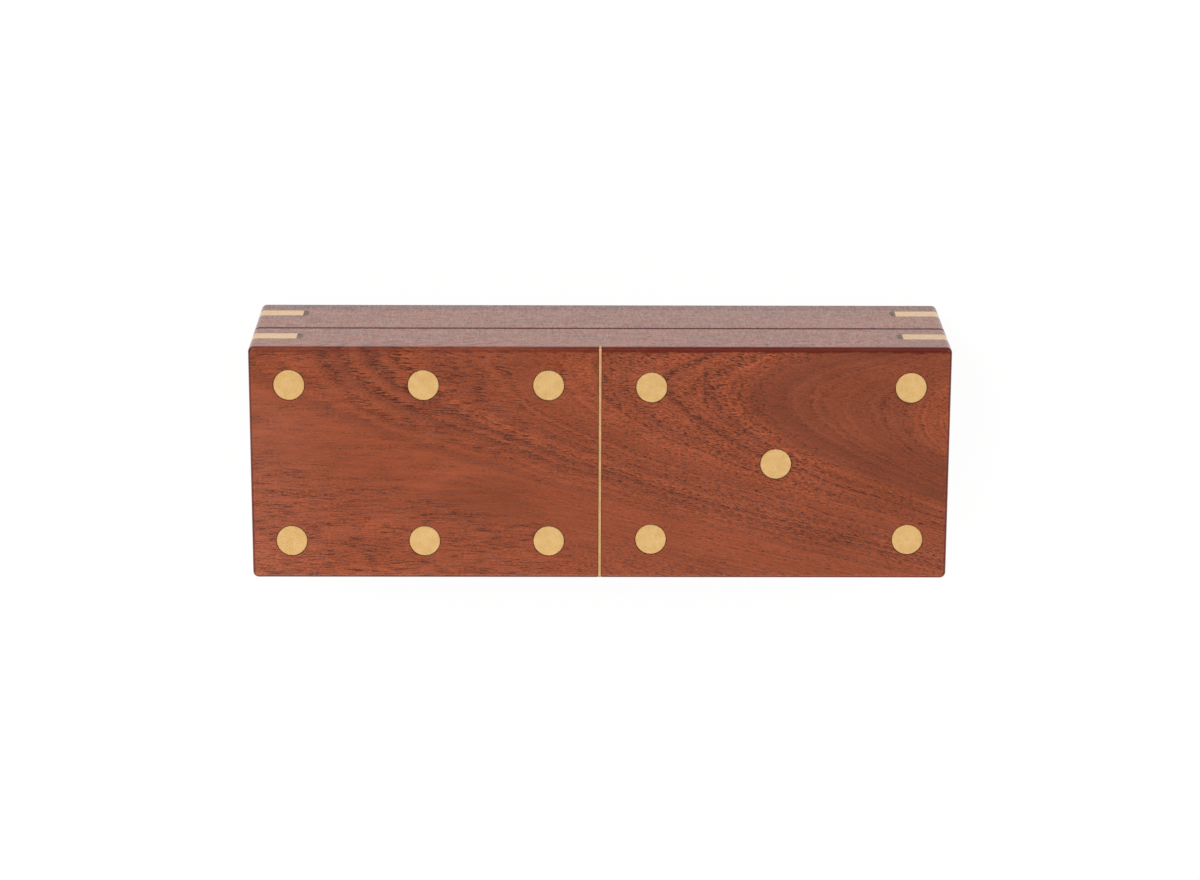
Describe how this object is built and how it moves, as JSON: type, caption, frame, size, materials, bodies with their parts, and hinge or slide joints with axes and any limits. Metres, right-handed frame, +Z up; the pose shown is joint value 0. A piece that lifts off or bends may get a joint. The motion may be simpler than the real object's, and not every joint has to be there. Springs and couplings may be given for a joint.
{
  "type": "domino storage box",
  "caption": "Hinged hardwood case for a set of dominoes, its lid inlaid with brass pips and a dividing strip, its corners held by brass straps.",
  "frame": {"origin": "middle of the underside, on the plane that the closed case rests on", "axes": "+X along the length, towards the half of the lid with six pips; +Y across, towards the hinges; +Z up, out of the inlaid lid"},
  "size_m": [0.18, 0.062, 0.0449],
  "materials": {
    "lid_panel_wood": "satin",
    "base_panel_wood": "satin",
    "long_wall_wood": "satin",
    "end_wall_wood": "satin",
    "pip_brass": "satin",
    "divider_brass": "satin",
    "strap_brass": "satin",
    "slot_filler": "matt wood filler",
    "hinge_brass": "satin",
    "screw_brass": "satin",
    "pin_brass": "satin",
    "magnet_nickel": "nickel plate"
  },
  "bodies": {
    "base": {"base_back_wall": "long_wall_wood", "base_front_wall": "long_wall_wood", "base_left_wall": "end_wall_wood", "base_magnet_left": "magnet_nickel", "base_magnet_right": "magnet_nickel", "base_panel": "base_panel_wood", "base_right_wall": "end_wall_wood", "base_slot_filler": "slot_filler", "base_strap_back_left": "strap_brass", "base_strap_back_right": "strap_brass", "base_strap_front_left": "strap_brass", "base_strap_front_right": "strap_brass", "left_hinge_base_leaf": "hinge_brass", "left_hinge_base_screws": "screw_brass", "left_hinge_pin": "pin_brass", "right_hinge_base_leaf": "hinge_brass", "right_hinge_base_screws": "screw_brass", "right_hinge_pin": "pin_brass"},
    "lid": {"five_pip_back_1": "pip_brass", "five_pip_back_2": "pip_brass", "five_pip_front_1": "pip_brass", "five_pip_front_2": "pip_brass", "five_pip_middle": "pip_brass", "left_hinge_lid_leaf": "hinge_brass", "left_hinge_lid_screws": "screw_brass", "lid_back_wall": "long_wall_wood", "lid_divider_strip": "divider_brass", "lid_front_wall": "long_wall_wood", "lid_left_wall": "end_wall_wood", "lid_magnet_left": "magnet_nickel", "lid_magnet_right": "magnet_nickel", "lid_panel": "lid_panel_wood", "lid_right_wall": "end_wall_wood", "lid_slot_filler": "slot_filler", "lid_strap_back_left": "strap_brass", "lid_strap_back_right": "strap_brass", "lid_strap_front_left": "strap_brass", "lid_strap_front_right": "strap_brass", "right_hinge_lid_leaf": "hinge_brass", "right_hinge_lid_screws": "screw_brass", "six_pip_back_1": "pip_brass", "six_pip_back_2": "pip_brass", "six_pip_back_3": "pip_brass", "six_pip_front_1": "pip_brass", "six_pip_front_2": "pip_brass", "six_pip_front_3": "pip_brass"}
  },
  "joints": [
    {"name": "lid_hinge", "type": "hinge", "parent": "base", "child": "lid", "pos_m": [0, 0.0289, 0.02545], "axis": [-1, 0, 0], "range_deg": [0, 95]}
  ]
}
